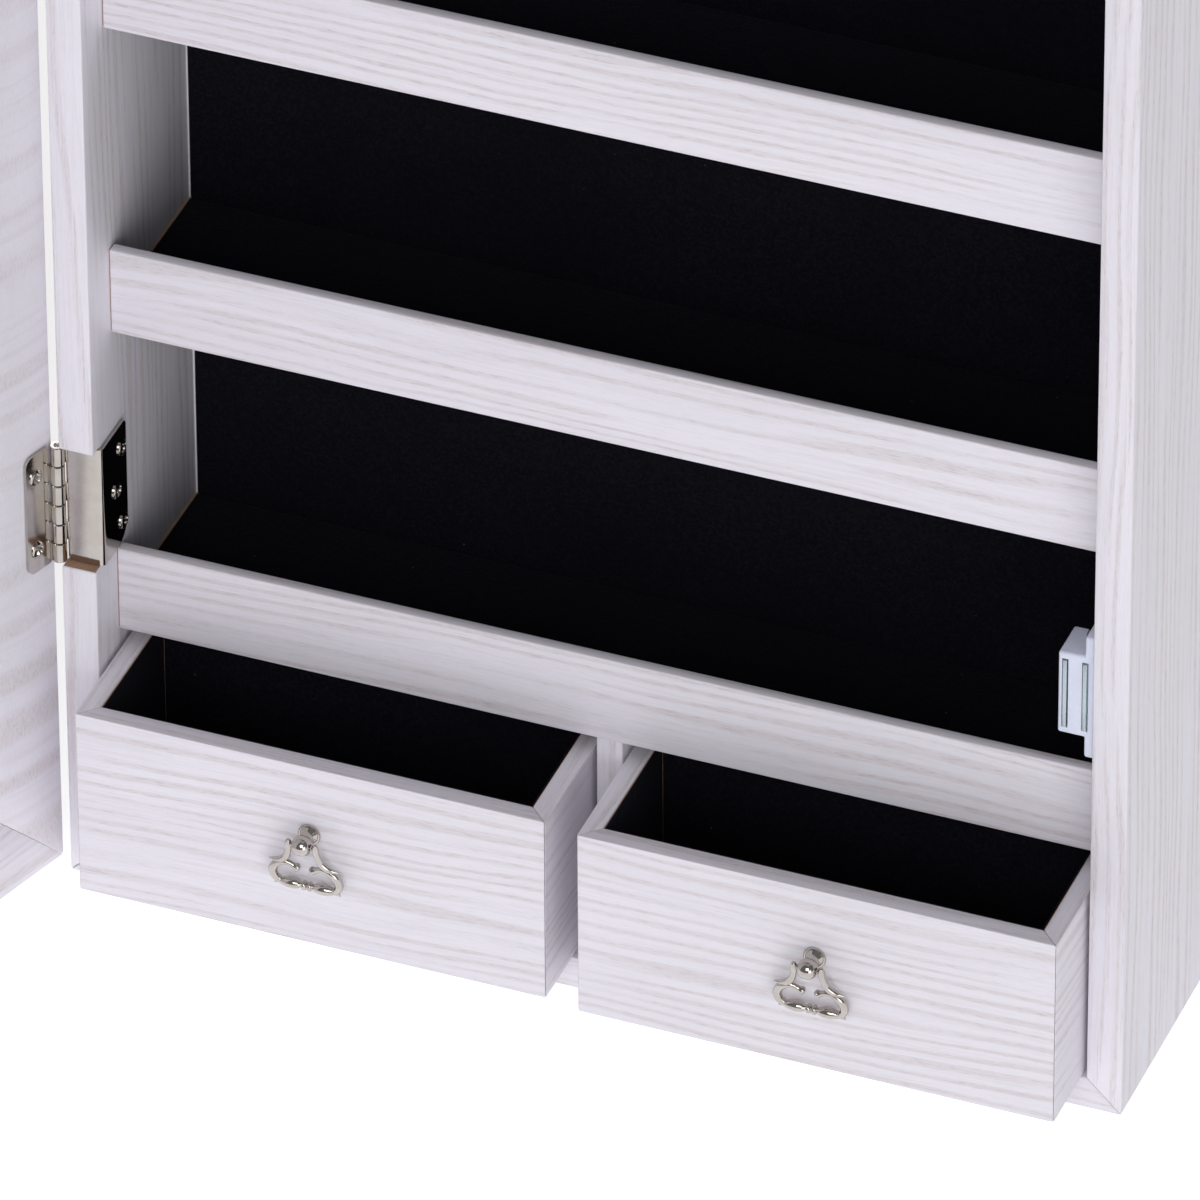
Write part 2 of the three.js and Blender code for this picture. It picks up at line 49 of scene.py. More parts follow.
# ------------------------------------------------------------------ frames, all in millimetres
# CAB is the leaning cabinet's own frame: x right, y back from its front, z up its side.
UP = -Vector(joints["door_hinge"]["axis"])
BACK = -Vector(joints["drawer_left_slide"]["axis"])
RIGHT = BACK.cross(UP)
HINGE_AT = Vector((-184.1, 2.5, 600.0))  # the door hinge's joint, in CAB
DOOR_OPEN = math.radians(107.4)
HALF, INNER = 182.5, 170.5  # half the cabinet's width, outside and inside
GAP = 0.3  # between pieces that touch


def frame_matrix(x, y, z, origin):
    m = Matrix((x, y, z)).transposed().to_4x4()
    m.translation = origin
    return m


_turn = Matrix((RIGHT, BACK, UP)).transposed()
_origin = Vector(joints["door_hinge"]["pos_m"]) - _turn @ (HINGE_AT * 0.001)
CAB = frame_matrix(RIGHT, BACK, UP, _origin) @ Matrix.Scale(0.001, 4)
DOOR = (CAB @ Matrix.Translation(HINGE_AT) @ Matrix.Rotation(-DOOR_OPEN, 4, "Z")
        @ Matrix.Translation(-HINGE_AT))


def plumb(joint):
    """A frame that hangs straight down from a joint, for the bails and the stand."""
    return Matrix.Translation(joints[joint]["pos_m"]) @ Matrix.Scale(0.001, 4)


def box_in(node, matrix):
    """Lowest and highest corner of a CAD node in one of the frames above, in millimetres."""
    back = matrix.inverted()
    points = [back @ v.co for v in frame["nodes"][node].data.vertices]
    return (Vector([min(p[i] for p in points) for i in range(3)]),
            Vector([max(p[i] for p in points) for i in range(3)]))


# ------------------------------------------------------------------ camera
# Place and turn are in CAB, fitted to the photo's outlines; a long lens keeps the uprights nearly parallel.
CAMERA_AT = Vector((1508.1, -3818.3, 3162.5))
YAW, PITCH, ROLL = math.radians(21.5), math.radians(36.208), math.radians(-0.306)
FOCAL = 40 / 3  # in picture widths
SENSOR = 36
look = Vector((-math.sin(YAW) * math.cos(PITCH), math.cos(YAW) * math.cos(PITCH), -math.sin(PITCH)))
side = Vector((math.cos(YAW), math.sin(YAW), 0))
over = side.cross(look)
side2 = side * math.cos(ROLL) + over * math.sin(ROLL)
over2 = over * math.cos(ROLL) - side * math.sin(ROLL)
camera_data = bpy.data.cameras.new("camera")
camera_data.sensor_width = SENSOR
camera_data.lens = FOCAL * SENSOR
camera_data.clip_end = 50
camera = bpy.data.objects.new("camera", camera_data)
bpy.context.scene.collection.objects.link(camera)
pose = frame_matrix(_turn @ side2, _turn @ over2, -(_turn @ look), CAB @ CAMERA_AT)
camera.matrix_world = pose
bpy.context.scene.camera = camera


# ------------------------------------------------------------------ material building
class Mat:
    """A material under construction: each call adds a node and gives back its output socket."""

    def __init__(self, name):
        self.material = bpy.data.materials.new(name)
        self.material.use_nodes = True
        self.tree = self.material.node_tree
        self.shader = self.tree.nodes["Principled BSDF"]

    def put(self, socket, value):
        if isinstance(value, bpy.types.NodeSocket):
            self.tree.links.new(value, socket)
        elif isinstance(value, (tuple, list)) and len(value) == 3 and len(socket.default_value) == 4:
            socket.default_value = (*value, 1)
        else:
            socket.default_value = value

    def node(self, kind, **settings):
        n = self.tree.nodes.new(kind)
        for key, value in settings.items():
            setattr(n, key, value)
        return n

    def attribute(self, name):
        return self.node("ShaderNodeAttribute", attribute_name=name)

    def place(self):
        return self.node("ShaderNodeTexCoord").outputs["Object"]

    def calc(self, operation, a, b=None, c=None, clamp=False):
        n = self.node("ShaderNodeMath", operation=operation, use_clamp=clamp)
        for socket, value in zip(n.inputs, (a, b, c)):
            if value is not None:
                self.put(socket, value)
        return n.outputs[0]

    def split(self, vector):
        n = self.node("ShaderNodeSeparateXYZ")
        self.put(n.inputs[0], vector)
        return n.outputs

    def join(self, x, y, z):
        n = self.node("ShaderNodeCombineXYZ")
        for socket, value in zip(n.inputs, (x, y, z)):
            self.put(socket, value)
        return n.outputs[0]

    def stretch(self, vector, scale):
        n = self.node("ShaderNodeVectorMath", operation="MULTIPLY")
        self.put(n.inputs[0], vector)
        n.inputs[1].default_value = scale
        return n.outputs[0]

    def noise(self, vector, scale=1.0, detail=2.0, rough=0.5):
        n = self.node("ShaderNodeTexNoise")
        self.put(n.inputs["Vector"], vector)
        n.inputs["Scale"].default_value = scale
        n.inputs["Detail"].default_value = detail
        n.inputs["Roughness"].default_value = rough
        return n.outputs["Fac"]

    def cells(self, vector, scale, feature="F1"):
        n = self.node("ShaderNodeTexVoronoi", feature=feature)
        self.put(n.inputs["Vector"], vector)
        n.inputs["Scale"].default_value = scale
        return n.outputs["Distance"]

    def span(self, value, low, high, to_low=0.0, to_high=1.0):
        n = self.node("ShaderNodeMapRange", interpolation_type="SMOOTHSTEP")
        self.put(n.inputs["Value"], value)
        for key, v in zip(("From Min", "From Max", "To Min", "To Max"), (low, high, to_low, to_high)):
            n.inputs[key].default_value = v
        return n.outputs["Result"]

    def mix(self, factor, a, b):
        n = self.node("ShaderNodeMix", data_type="RGBA")
        self.put(n.inputs[0], factor)
        self.put(n.inputs[6], a)
        self.put(n.inputs[7], b)
        return n.outputs[2]

    def bump(self, height, distance, strength=1.0):
        n = self.node("ShaderNodeBump")
        self.put(n.inputs["Height"], height)
        n.inputs["Distance"].default_value = distance
        n.inputs["Strength"].default_value = strength
        self.put(self.shader.inputs["Normal"], n.outputs[0])

    def done(self, **sockets):
        for key, value in sockets.items():
            self.put(self.shader.inputs[key.replace("_", " ")], value)
        return self.material


def foil(name, light, band, pore):
    """Wood-grain foil. The grain attribute holds (along, across, through) in millimetres."""
    m = Mat(name)
    grain = m.attribute("grain").outputs["Vector"]
    figure = m.attribute("figure").outputs["Fac"]
    along, across, through = m.split(grain)

    def wander(scale, detail, size):
        drift = m.calc("SUBTRACT", m.noise(m.stretch(grain, scale), 1, detail), 0.5)
        return m.calc("MULTIPLY", drift, size)

    def times(a, b):
        return m.calc("MULTIPLY", a, b)

    layers = m.calc("ADD", across, times(through, 0.83))
    bent = m.calc("ADD", m.calc("ADD", layers, wander((0.0055, 0.012, 0.012), 1, 16)),
                  wander((0.024, 0.09, 0.09), 2, 2.2))
    reach = times(along, 0.16)
    arch = m.calc("SQRT", m.calc("ADD", times(bent, bent), times(reach, reach)))
    straight = m.calc("SUBTRACT", 1.0, figure)
    ring = m.calc("ADD", times(bent, straight), times(arch, figure))
    # soft year lines at uneven distances, broken up along their length
    pitch = m.calc("ADD", times(straight, 0.2), times(figure, 0.115))
    uneven = times(m.noise(m.join(times(along, 0.002), times(ring, 0.045), times(through, 0.02)), 1, 2), 4.5)
    wave = m.calc("SINE", times(m.calc("ADD", times(ring, pitch), uneven), 2 * math.pi))
    fade = m.span(m.noise(m.join(times(along, 0.009), times(ring, 0.085), through), 1, 2), 0.32, 0.58)
    bands = times(m.span(wave, -0.2, 1.0), fade)
    fine = m.span(m.noise(m.join(times(along, 0.02), times(ring, 0.85), times(through, 0.85)), 1, 2, 0.6),
                  0.46, 0.72)
    ticks = m.span(m.noise(m.join(times(along, 0.2), times(bent, 2.6), times(through, 2.6)), 1, 2, 0.65),
                   0.47, 0.7)
    pores = m.calc("MULTIPLY", ticks, m.calc("ADD", times(bands, 0.75), 0.2), clamp=True)
    cloud = m.span(m.noise(m.stretch(grain, (0.01, 0.05, 0.05)), 1, 2), 0.35, 0.7)
    base = m.mix(cloud, light, tuple(0.965 * v for v in light))
    colour = m.mix(times(fine, 0.28), base, band)
    colour = m.mix(times(bands, 0.55), colour, band)
    colour = m.mix(times(pores, 0.7), colour, pore)
    m.bump(m.calc("ADD", times(pores, -0.6), times(bands, -0.2)), 0.00006, 0.6)
    return m.done(Base_Color=colour, Roughness=m.span(pores, 0.0, 0.8, 0.42, 0.55),
                  Specular_IOR_Level=0.35)


def velvet(name, colour):
    m = Mat(name)
    place = m.place()
    nap = m.noise(place, 900, 3, 0.7)
    brushed = m.noise(place, 9, 3, 0.55)
    lint = m.span(m.cells(place, 95), 0.0, 0.05, 1.0, 0.0)
    rare = m.span(m.noise(place, 34, 1), 0.56, 0.62)
    shade = m.mix(m.span(nap, 0.35, 0.75), tuple(0.55 * v for v in colour), tuple(1.5 * v for v in colour))
    shade = m.mix(m.span(brushed, 0.35, 0.7, 0.0, 0.5), shade, tuple(0.45 * v for v in colour))
    shade = m.mix(m.calc("MULTIPLY", lint, rare), shade, (0.09, 0.095, 0.11))
    m.bump(nap, 0.0004, 0.8)
    return m.done(Base_Color=shade, Roughness=0.95, Specular_IOR_Level=0.05, Sheen_Weight=0.035,
                  Sheen_Roughness=0.45, Sheen_Tint=(0.75, 0.8, 1.0))


def metal(name, colour, rough, streak=(1, 1, 1), depth=0.000012):
    m = Mat(name)
    place = m.stretch(m.place(), streak)
    fine = m.noise(place, 1400, 4, 0.65)
    soft = m.noise(m.place(), 130, 2, 0.5)
    tint = m.mix(m.span(soft, 0.35, 0.7), colour, tuple(v * f for v, f in zip(colour, (0.93, 0.9, 0.86))))
    m.bump(fine, depth, 0.5)
    return m.done(Base_Color=tint, Metallic=1.0,
                  Roughness=m.span(fine, 0.3, 0.75, rough * 0.75, rough * 1.4))


def plain(name, colour, other, rough, scale, distance, stretch=(1, 1, 1), **more):
    m = Mat(name)
    grainy = m.noise(m.stretch(m.place(), stretch), scale, 4, 0.6)
    m.bump(grainy, distance, 0.6)
    return m.done(Base_Color=m.mix(m.span(grainy, 0.3, 0.7), colour, other),
                  Roughness=m.span(grainy, 0.3, 0.75, rough * 0.85, rough * 1.12), **more)


def mirror_material():
    m = Mat("silvered_glass")
    haze = m.noise(m.place(), 14, 4, 0.6)
    tint = m.mix(m.span(haze, 0.3, 0.8), (0.9, 0.93, 0.92), (0.86, 0.9, 0.895))
    return m.done(Base_Color=tint, Metallic=1.0, Roughness=m.span(haze, 0.35, 0.8, 0.012, 0.035))


FOIL = foil("white_foil", (0.795, 0.775, 0.84), (0.65, 0.598, 0.622), (0.54, 0.478, 0.486))
VELVET = velvet("black_velvet", (0.0062, 0.0062, 0.0098))
NICKEL = metal("polished_nickel", (0.52, 0.49, 0.465), 0.1)
STEEL = metal("zinc_steel", (0.50, 0.58, 0.62), 0.3, (6, 6, 0.4), 0.00003)
PLASTIC = plain("white_plastic", (0.70, 0.735, 0.87), (0.66, 0.695, 0.83), 0.38, 240, 0.00002,
                Subsurface_Weight=0.06, Subsurface_Radius=(0.002, 0.002, 0.0025))
RAW = plain("raw_fibreboard", (0.46, 0.29, 0.19), (0.32, 0.19, 0.12), 0.85, 1300, 0.00008, (1, 1, 3))
RUBBER = plain("black_rubber", (0.018, 0.018, 0.02), (0.03, 0.03, 0.032), 0.75, 420, 0.0002)
MIRROR = mirror_material()
MATERIALS = {"white_wood": FOIL, "velvet": VELVET, "nickel": NICKEL, "steel": STEEL,
             "white_plastic": PLASTIC, "raw_board": RAW, "black_rubber": RUBBER, "mirror": MIRROR}

# ------------------------------------------------------------------ mesh building
_pieces = 0


def finish_piece(bm, name, matrix, body, slot, material, nodes=(), grain=None, arches=None, smooth=30):
    """Turns a bmesh drawn in millimetres in a local frame into a piece that rides on a body.

    grain names the axes along, across and through the board. arches gives a flat-sawn figure: how
    steep its arches are, and where their middle lies along and across, in shares of the board."""
    global _pieces
    _pieces += 1
    bmesh.ops.recalc_face_normals(bm, faces=bm.faces)
    mesh = bpy.data.meshes.new(name)
    bm.to_mesh(mesh)
    bm.free()
    if grain:
        order = ["xyz".index(c) for c in grain]
        scale, shift = (1, 1, 1), (_pieces * 211.7 % 900, _pieces * 37.9 % 160, _pieces * 17.3 % 90)
        if arches:
            scale = (arches[0], 1, 1)
            ends = [[f(v.co[axis] for v in mesh.vertices) for f in (min, max)] for axis in order[:2]]
            middle = [lo + share * (hi - lo) for (lo, hi), share in zip(ends, arches[1:])]
            shift = (-middle[0] * arches[0], -middle[1], shift[2])
        attribute = mesh.attributes.new("grain", "FLOAT_VECTOR", "POINT")
        values = [v.co[axis] * k + s for v in mesh.vertices for axis, k, s in zip(order, scale, shift)]
        attribute.data.foreach_set("vector", values)
        fig = mesh.attributes.new("figure", "FLOAT", "POINT")
        fig.data.foreach_set("value", [1.0 if arches else 0.0] * len(mesh.vertices))
    mesh.transform(matrix)
    mesh.shade_smooth()
    mesh.set_sharp_from_angle(angle=math.radians(smooth))
    mesh.materials.append(material)
    piece = bpy.data.objects.new(name, mesh)
    bpy.context.scene.collection.objects.link(piece)
    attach(piece, body)
    if nodes:
        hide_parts(*nodes)
    return piece


def board(node, matrix, bevel=0.5, grain=None, arches=None, keep=None, segments=2, suffix="_board"):
    """A CAD node's own shape with its edges rounded over."""
    bm = bmesh.new()
    bm.from_mesh(frame["nodes"][node].data)
    bm.transform(matrix.inverted())
    bmesh.ops.remove_doubles(bm, verts=bm.verts, dist=0.02)
    bmesh.ops.dissolve_limit(bm, angle_limit=math.radians(1.5), verts=bm.verts, edges=bm.edges)
    edges = [e for e in bm.edges if len(e.link_faces) == 2 and e.calc_face_angle(0) > math.radians(25)]
    if keep:
        edges = [e for e in edges if keep((e.verts[0].co + e.verts[1].co) / 2)]
    bmesh.ops.bevel(bm, geom=edges, offset=bevel, offset_type="OFFSET", segments=segments, profile=0.5,
                    affect="EDGES", clamp_overlap=True)
    return finish_piece(bm, node + suffix, matrix, body_of[node], slot_of[node],
                        MATERIALS[slot_of[node]], (node,), grain, arches)


def add_box(bm, low, high, bevel=0.0, segments=2):
    """A box with rounded edges, added to a bmesh."""
    made = bmesh.ops.create_cube(bm, size=1)["verts"]
    for v in made:
        v.co = Vector([lo + (c + 0.5) * (hi - lo) for lo, hi, c in zip(low, high, v.co)])
    if bevel:
        edges = list({e for v in made for e in v.link_edges})
        bmesh.ops.bevel(bm, geom=edges, offset=bevel, segments=segments, profile=0.5, affect="EDGES")


def spline(points, steps):
    """Catmull-Rom through points of any dimension."""
    out = []
    for i in range(len(points) - 1):
        p0 = points[max(i - 1, 0)]
        p1, p2 = points[i], points[i + 1]
        p3 = points[min(i + 2, len(points) - 1)]
        for k in range(steps):
            t = k / steps
            out.append(tuple(0.5 * (2 * b + (c - a) * t + (2 * a - 5 * b + 4 * c - d) * t * t
                                    + (3 * b - a - 3 * c + d) * t ** 3)
                             for a, b, c, d in zip(p0, p1, p2, p3)))
    out.append(tuple(points[-1]))
    return out


def add_tube(bm, path, sides=16, steps=6, flat=1.0):
    """A bar of changing thickness along (x, y, z, radius) points, closed by rounded ends."""
    samples = spline(path, steps) if steps > 1 else [tuple(p) for p in path]
    centres = [Vector(s[:3]) for s in samples]
    radii = [max(s[3], 0.02) for s in samples]
    turn = None
    rings = []
    for i, centre in enumerate(centres):
        ahead = (centres[min(i + 1, len(centres) - 1)] - centres[max(i - 1, 0)]).normalized()
        if turn is None:
            other = Vector((0, 1, 0)) if abs(ahead.y) < 0.9 else Vector((1, 0, 0))
            turn = (other - ahead * other.dot(ahead)).normalized()
        else:
            turn = (turn - ahead * turn.dot(ahead)).normalized()
        cross = ahead.cross(turn)
        rings.append((centre, ahead, turn, cross, radii[i]))
    first, last = rings[0], rings[-1]
    caps = []
    for ring, way in ((first, -1), (last, 1)):
        centre, ahead, turn_, cross_, radius = ring
        caps.append([(centre + ahead * way * radius * math.sin(a) * 0.8, ahead, turn_, cross_,
                      radius * math.cos(a)) for a in (0.45, 0.9, 1.25)])
    rings = caps[0][::-1] + rings + caps[1]
    loops = []
    for centre, _, turn_, cross_, radius in rings:
        loops.append([bm.verts.new(centre + (turn_ * math.cos(2 * math.pi * k / sides) * flat
                                             + cross_ * math.sin(2 * math.pi * k / sides)) * radius)
                      for k in range(sides)])
    for lower, upper in zip(loops, loops[1:]):
        for k in range(sides):
            bm.faces.new((lower[k], lower[(k + 1) % sides], upper[(k + 1) % sides], upper[k]))
    bm.faces.new(loops[0][::-1])
    bm.faces.new(loops[-1])


def add_lathe(bm, profile, matrix, sides=32, inner=None):
    """Turned about the matrix's z: profile is (radius, height); inner closes it as a tube."""
    loops = [[bm.verts.new(matrix @ Vector((r * math.cos(2 * math.pi * k / sides),
                                            r * math.sin(2 * math.pi * k / sides), h)))
              for k in range(sides)] for r, h in profile]
    pairs = list(zip(loops, loops[1:]))
    if inner:
        pairs.append((loops[-1], loops[0]))
    for lower, upper in pairs:
        for k in range(sides):
            bm.faces.new((lower[k], lower[(k + 1) % sides], upper[(k + 1) % sides], upper[k]))
    if not inner:
        bm.faces.new(loops[0][::-1])
        bm.faces.new(loops[-1])


def smooth_step(value, low, high):
    t = min(max((value - low) / (high - low), 0), 1)
    return t * t * (3 - 2 * t)


def add_screw(bm, at, normal, radius=2.9, turn=0.4, dome=1.15):
    """A domed screw head with a cross recess."""
    z = Vector(normal).normalized()
    x = Vector((0, 0, 1)) if abs(z.z) < 0.9 else Vector((1, 0, 0))
    x = (x - z * x.dot(z)).normalized()
    matrix = frame_matrix(x, z.cross(x), z, Vector(at)) @ Matrix.Rotation(turn, 4, "Z")
    n, rows = 40, 13
    loops = []
    for i in range(rows):
        r = radius * (i / (rows - 1)) ** 0.8
        loop = []
        for k in range(n):
            a = 2 * math.pi * k / n
            px, py = r * math.cos(a), r * math.sin(a)
            height = dome * math.sqrt(max(1 - (r / (radius * 1.04)) ** 2, 0)) + 0.12
            width = 0.3 + 0.1 * radius
            arm = max(1 - smooth_step(abs(px), width * 0.6, width * 1.3),
                      1 - smooth_step(abs(py), width * 0.6, width * 1.3))
            arm *= 1 - smooth_step(r, radius * 0.52, radius * 0.7)
            loop.append((px, py, height - arm * dome * 0.85))
        loops.append(loop)
    verts = [[bm.verts.new(matrix @ Vector(p)) for p in loop] for loop in loops[1:]]
    centre = bm.verts.new(matrix @ Vector((0, 0, dome * 0.25)))
    skirt = [bm.verts.new(matrix @ Vector((radius * math.cos(2 * math.pi * k / n),
                                           radius * math.sin(2 * math.pi * k / n), -0.6))) for k in range(n)]
    verts.append(skirt)
    for k in range(n):
        bm.faces.new((centre, verts[0][k], verts[0][(k + 1) % n]))
    for lower, upper in zip(verts, verts[1:]):
        for k in range(n):
            bm.faces.new((lower[k], upper[k], upper[(k + 1) % n], lower[(k + 1) % n]))
    bm.faces.new(skirt[::-1])


# ------------------------------------------------------------------ boards, foil and velvet
WOOD = {
    "side_board_left": (CAB, "zyx"), "side_board_right": (CAB, "zyx"), "top_board": (CAB, "xyz"),
    "bottom_board": (CAB, "xyz"), "drawer_divider": (CAB, "zyx"), "shelf_rail_1": (CAB, "xzy"),
    "shelf_rail_2": (CAB, "xzy"), "shelf_rail_3": (CAB, "xzy"),
    "door_stile_hinge_side": (DOOR, "zxy", (2.1, 0.66, 1.25)), "door_stile_latch_side": (DOOR, "zxy"),
    "door_rail_top": (DOOR, "xzy"), "door_rail_bottom": (DOOR, "xzy"),
    "door_backing_panel": (DOOR, "zxy", (1.0, 0.42, 0.5)),
}
for n, (matrix, *grain) in WOOD.items():
    board(n, matrix, 0.45, *grain)
for d in ("left", "right"):
    for part, grain in (("front", "xzy"), ("back", "xzy"), ("wall_left", "yzx"), ("wall_right", "yzx"),
                        ("floor", "xyz")):
        board(f"drawer_{d}_{part}", CAB, 0.35, grain)
    board(f"drawer_{d}_velvet_liner", CAB, 0.25)
for n in ("velvet_shelf_1", "velvet_shelf_2", "velvet_shelf_3", "velvet_back_lining"):
    board(n, CAB, 0.5)
board("back_panel", CAB, 0.3)
board("wedge_plinth", CAB, 1.5, segments=3)

STAND = plumb("stand_fold")
SPREAD = STAND @ Matrix.Rotation(math.radians(13), 4, "X")
for d in ("left", "right"):
    board(f"stand_leg_{d}", SPREAD, 1.2, "zyx", segments=3)
board("stand_cross_rail", SPREAD, 1.0, "xzy", segments=3)

# ------------------------------------------------------------------ mirror with a ground bevel
low, high = box_in("mirror_glass", DOOR)
bm = bmesh.new()
bmesh.ops.create_cube(bm, size=1)
for v in bm.verts:
    v.co = Vector([lo + (c + 0.5) * (hi - lo) for lo, hi, c in zip(low, high, v.co)])
front = [f for f in bm.faces if f.normal.y < -0.9]
bmesh.ops.inset_region(bm, faces=front, thickness=14, depth=0)
rim = {v for f in bm.faces for v in f.verts} - {v for f in front for v in f.verts}
for v in rim:
    if v.co.y < (low.y + high.y) / 2:
        v.co.y += 0.9
finish_piece(bm, "mirror_pane", DOOR, "door", "mirror", MIRROR, ("mirror_glass",), smooth=0.5)

# ------------------------------------------------------------------ hinges
HINGES = {"lower": 146, "middle": 600, "upper": 1054}
HIGH, BARREL, BORE = 45.8, 2.4, 1.12  # a hinge's height, and its knuckles' outer and inner radius
LEAF = 0.95  # sheet thickness
KNUCKLE = HIGH / 6


def add_sheet(bm, columns, thick):
    """Bent sheet metal: columns are (x, y, nx, ny, z low, z high) along its outer face."""
    grid = []
    for x, y, nx, ny, z0, z1 in columns:
        grid.append([bm.verts.new((x, y, z0)), bm.verts.new((x, y, z1)),
                     bm.verts.new((x - nx * thick, y - ny * thick, z1)),
                     bm.verts.new((x - nx * thick, y - ny * thick, z0))])
    for a, b in zip(grid, grid[1:]):
        for k in range(4):
            bm.faces.new((a[k], a[(k + 1) % 4], b[(k + 1) % 4], b[k]))
    bm.faces.new(grid[0][::-1])
    bm.faces.new(grid[-1])


def rounded_end(position, end, radius_low, radius_high, z0, z1):
    """z limits of a plate whose far corners are rounded, at a distance along it."""
    limits = []
    for radius, z, way in ((radius_low, z0, 1), (radius_high, z1, -1)):
        into = position - (end - radius)
        drop = radius - math.sqrt(max(radius * radius - into * into, 0)) if into > 0 else 0
        limits.append(z + way * drop)
    return limits


def add_knuckle(bm, bottom, top):
    edge = 0.28
    profile = [(BORE, bottom + 0.05), (BARREL - edge, bottom), (BARREL, bottom + edge), (BARREL, top - edge),
               (BARREL - edge, top), (BORE, top - 0.05)]
    at = Matrix.Translation((HINGE_AT.x, HINGE_AT.y, 0))
    add_lathe(bm, profile, at, 28, inner=True)


for place, z in HINGES.items():
    low, high = z - HIGH / 2, z + HIGH / 2
    plate = HINGE_AT.x + 2.9
    # the cabinet's leaf: strip in the notch, bend round the edge, wing on the inside of the board
    face, corner = HINGE_AT.y + BARREL - 1, 2.0
    wing_x, wing_end = -INNER + GAP + 1, 24.0
    bm = bmesh.new()
    columns = [(plate, face, 0, -1, low, high)]
    for i in range(9):
        a = math.pi / 2 * i / 8
        columns.append((wing_x - corner + corner * math.sin(a), face + corner - corner * math.cos(a),
                        math.sin(a), -math.cos(a), low, high))
    start = face + corner
    for i in range(1, 25):
        y = start + (wing_end - 0.02 - start) * (1 - (1 - i / 24) ** 2)
        z0, z1 = rounded_end(y, wing_end, 9.0, 2.2, low, high)
        columns.append((wing_x, y, 1, 0, z0, z1))
    add_sheet(bm, columns, LEAF)
    for i in (0, 2, 4):
        top = high - i * KNUCKLE - 0.12
        bottom = high - (i + 1) * KNUCKLE + 0.12
        add_knuckle(bm, bottom, top)
        add_box(bm, (HINGE_AT.x + 0.9, face, bottom + 0.1), (plate + 0.4, face + LEAF, top - 0.1), 0.15)
    finish_piece(bm, f"hinge_wing_{place}", CAB, "cabinet", "nickel", NICKEL,
                 (f"hinge_leaf_cabinet_{place}",))
    bm = bmesh.new()
    for deep, dz, turn in ((19.9, 14, 0.5), (15.1, 0, 0.9), (19.9, -15, 0.2)):
        add_screw(bm, (wing_x, deep, z + dz), (1, 0, 0), turn=turn)
    finish_piece(bm, f"hinge_screws_cabinet_{place}", CAB, "cabinet", "nickel", NICKEL)
    # the door's leaf, drawn with the door closed
    face0 = HINGE_AT.y - BARREL
    end = 13.8
    bm = bmesh.new()
    columns = []
    for i in range(21):
        s = 2.9 + (end - 0.02 - 2.9) * (1 - (1 - i / 20) ** 2)
        z0, z1 = rounded_end(s, end, 3.4, 3.4, low, high)
        columns.append((HINGE_AT.x + s, face0 + LEAF, 0, 1, z0, z1))
    add_sheet(bm, columns, LEAF)
    for i in (1, 3, 5):
        top = high - i * KNUCKLE - 0.12
        bottom = high - (i + 1) * KNUCKLE + 0.12
        add_knuckle(bm, bottom, top)
        add_box(bm, (HINGE_AT.x + 0.9, face0, bottom + 0.1), (plate + 0.4, face0 + LEAF, top - 0.1), 0.15)
    finish_piece(bm, f"hinge_plate_{place}", DOOR, "door", "nickel", NICKEL, (f"hinge_leaf_door_{place}",))
    bm = bmesh.new()
    for dz, turn in ((14.3, 0.3), (-14.3, 0.75)):
        add_screw(bm, (HINGE_AT.x + 9.2, face0 + LEAF, z + dz), (0, 1, 0), turn=turn, dome=0.9)
    finish_piece(bm, f"hinge_screws_door_{place}", DOOR, "door", "nickel", NICKEL)
    bm = bmesh.new()
    pin = [(0.3, low - 0.35), (1.05, low - 0.05), (1.1, low + 0.3), (1.1, high - 0.3), (1.05, high + 0.05),
           (0.3, high + 0.35)]
    add_lathe(bm, pin, Matrix.Translation((HINGE_AT.x, HINGE_AT.y, 0)), 20)
    finish_piece(bm, f"hinge_rod_{place}", CAB, "cabinet", "nickel", NICKEL, (f"hinge_pin_{place}",))

# ------------------------------------------------------------------ magnetic catches
for place, z in (("lower", 161), ("upper", 1039)):
    node = f"catch_housing_{place}"
    low, high = box_in(node, CAB)

    def outside(mid, low=low, high=high, z=z):
        in_slot = abs(mid.z - z) < 13.9 and low.x + 1.0 < mid.x < high.x - 1.0
        return not in_slot

    board(node, CAB, 0.9, keep=outside, segments=4, suffix="_shell")
    board(f"catch_magnet_{place}", CAB, 0.15, suffix="_plates")
    bm = bmesh.new()
    for dz, turn in ((19.6, 0.6), (-19.6, 0.1)):
        add_screw(bm, (high.x - 3.7, 8.8, z + dz), (-1, 0, 0), radius=2.5, turn=turn, dome=1.2)
    finish_piece(bm, f"catch_screws_{place}", CAB, "cabinet", "nickel", NICKEL)
    board(f"strike_plate_{place}", DOOR, 0.3, suffix="_plate")

